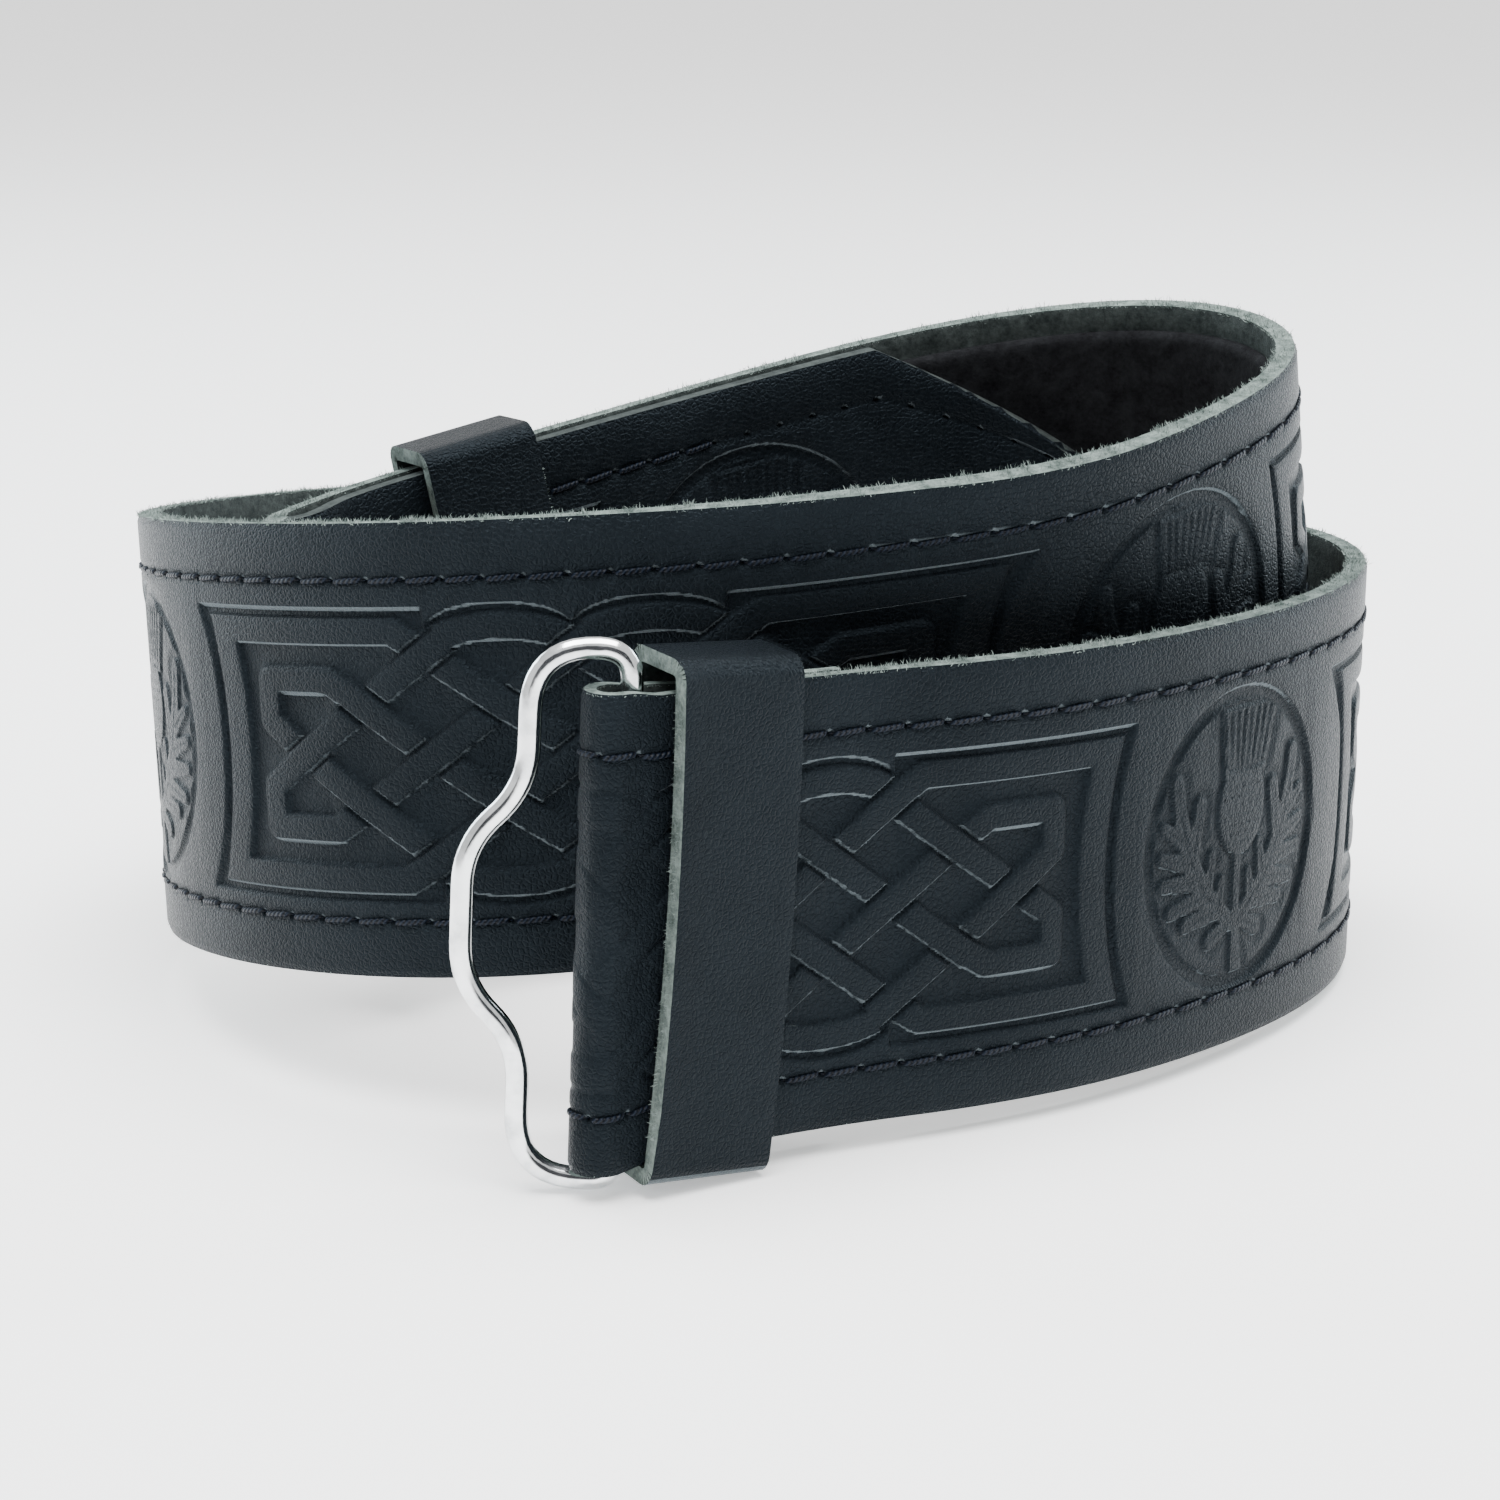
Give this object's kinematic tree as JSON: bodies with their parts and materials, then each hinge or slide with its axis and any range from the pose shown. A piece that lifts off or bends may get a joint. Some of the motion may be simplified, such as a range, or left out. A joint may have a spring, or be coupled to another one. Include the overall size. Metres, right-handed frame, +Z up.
{
  "type": "kilt belt",
  "caption": "Wide embossed leather kilt belt, coiled and standing on its edge, with a wire loop in a stitched fold, leather keepers and a hook-and-loop strip inside the doubled end",
  "frame": {"origin": "middle of the bounding box's bottom face, on the surface that the coil stands on", "axes": "+Z up, from the strap's lower edge to its upper edge; +X to the viewer's right, along the coil's long way; +Y away from the viewer, from the wire loop to the coil's back wall"},
  "size_m": [0.1708, 0.1432, 0.0912],
  "materials": {
    "strap_leather": "satin",
    "keeper_leather": "satin",
    "wire": "polished",
    "tape": "fuzzy"
  },
  "bodies": {
    "belt": {"strap": "strap_leather", "front_keeper": "keeper_leather", "rear_keeper": "keeper_leather", "loop_tape": "tape"},
    "loop": {"wire_loop": "wire"}
  },
  "joints": [
    {"name": "wire_loop_swing", "type": "hinge", "parent": "belt", "child": "loop", "pos_m": [-0.01651, -0.06575, 0.03381], "axis": [0.0505, 0.0581, 0.997], "range_deg": [-45, 125]}
  ]
}
